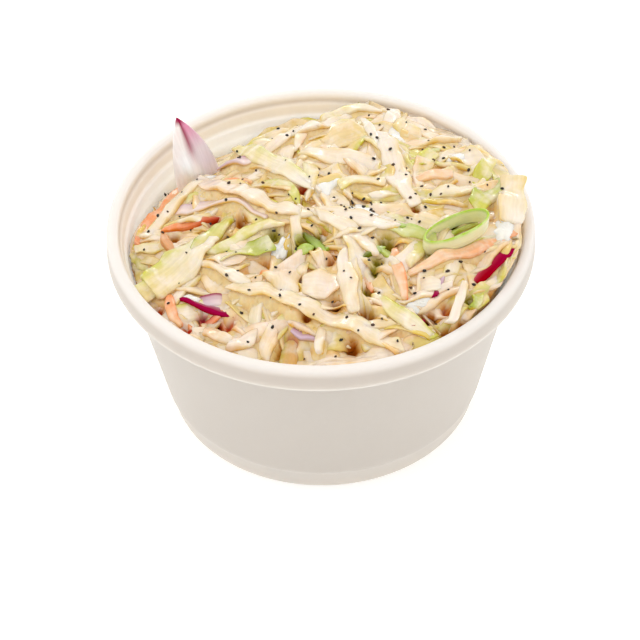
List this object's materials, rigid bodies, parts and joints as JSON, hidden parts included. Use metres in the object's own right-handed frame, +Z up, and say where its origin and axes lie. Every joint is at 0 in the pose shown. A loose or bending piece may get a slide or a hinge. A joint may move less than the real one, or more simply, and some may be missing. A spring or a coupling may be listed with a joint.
{
  "type": "coleslaw in a foam cup",
  "caption": "Dressed coleslaw of cabbage, carrot, red onion and spring onion shreds with pepper, heaped in a squat round foam cup with a banded rim.",
  "frame": {"origin": "centre of the face that the cup stands on, on the cup's axis", "axes": "+Z up, out of the cup's mouth; -Y towards the viewer, +X to the viewer's right"},
  "size_m": [0.1148, 0.1148, 0.072],
  "materials": {
    "foam": "matte moulded foam",
    "slaw": "moist, with a creamy dressing"
  },
  "bodies": {
    "root": {"foam_cup": "foam", "coleslaw": "slaw"}
  },
  "joints": []
}
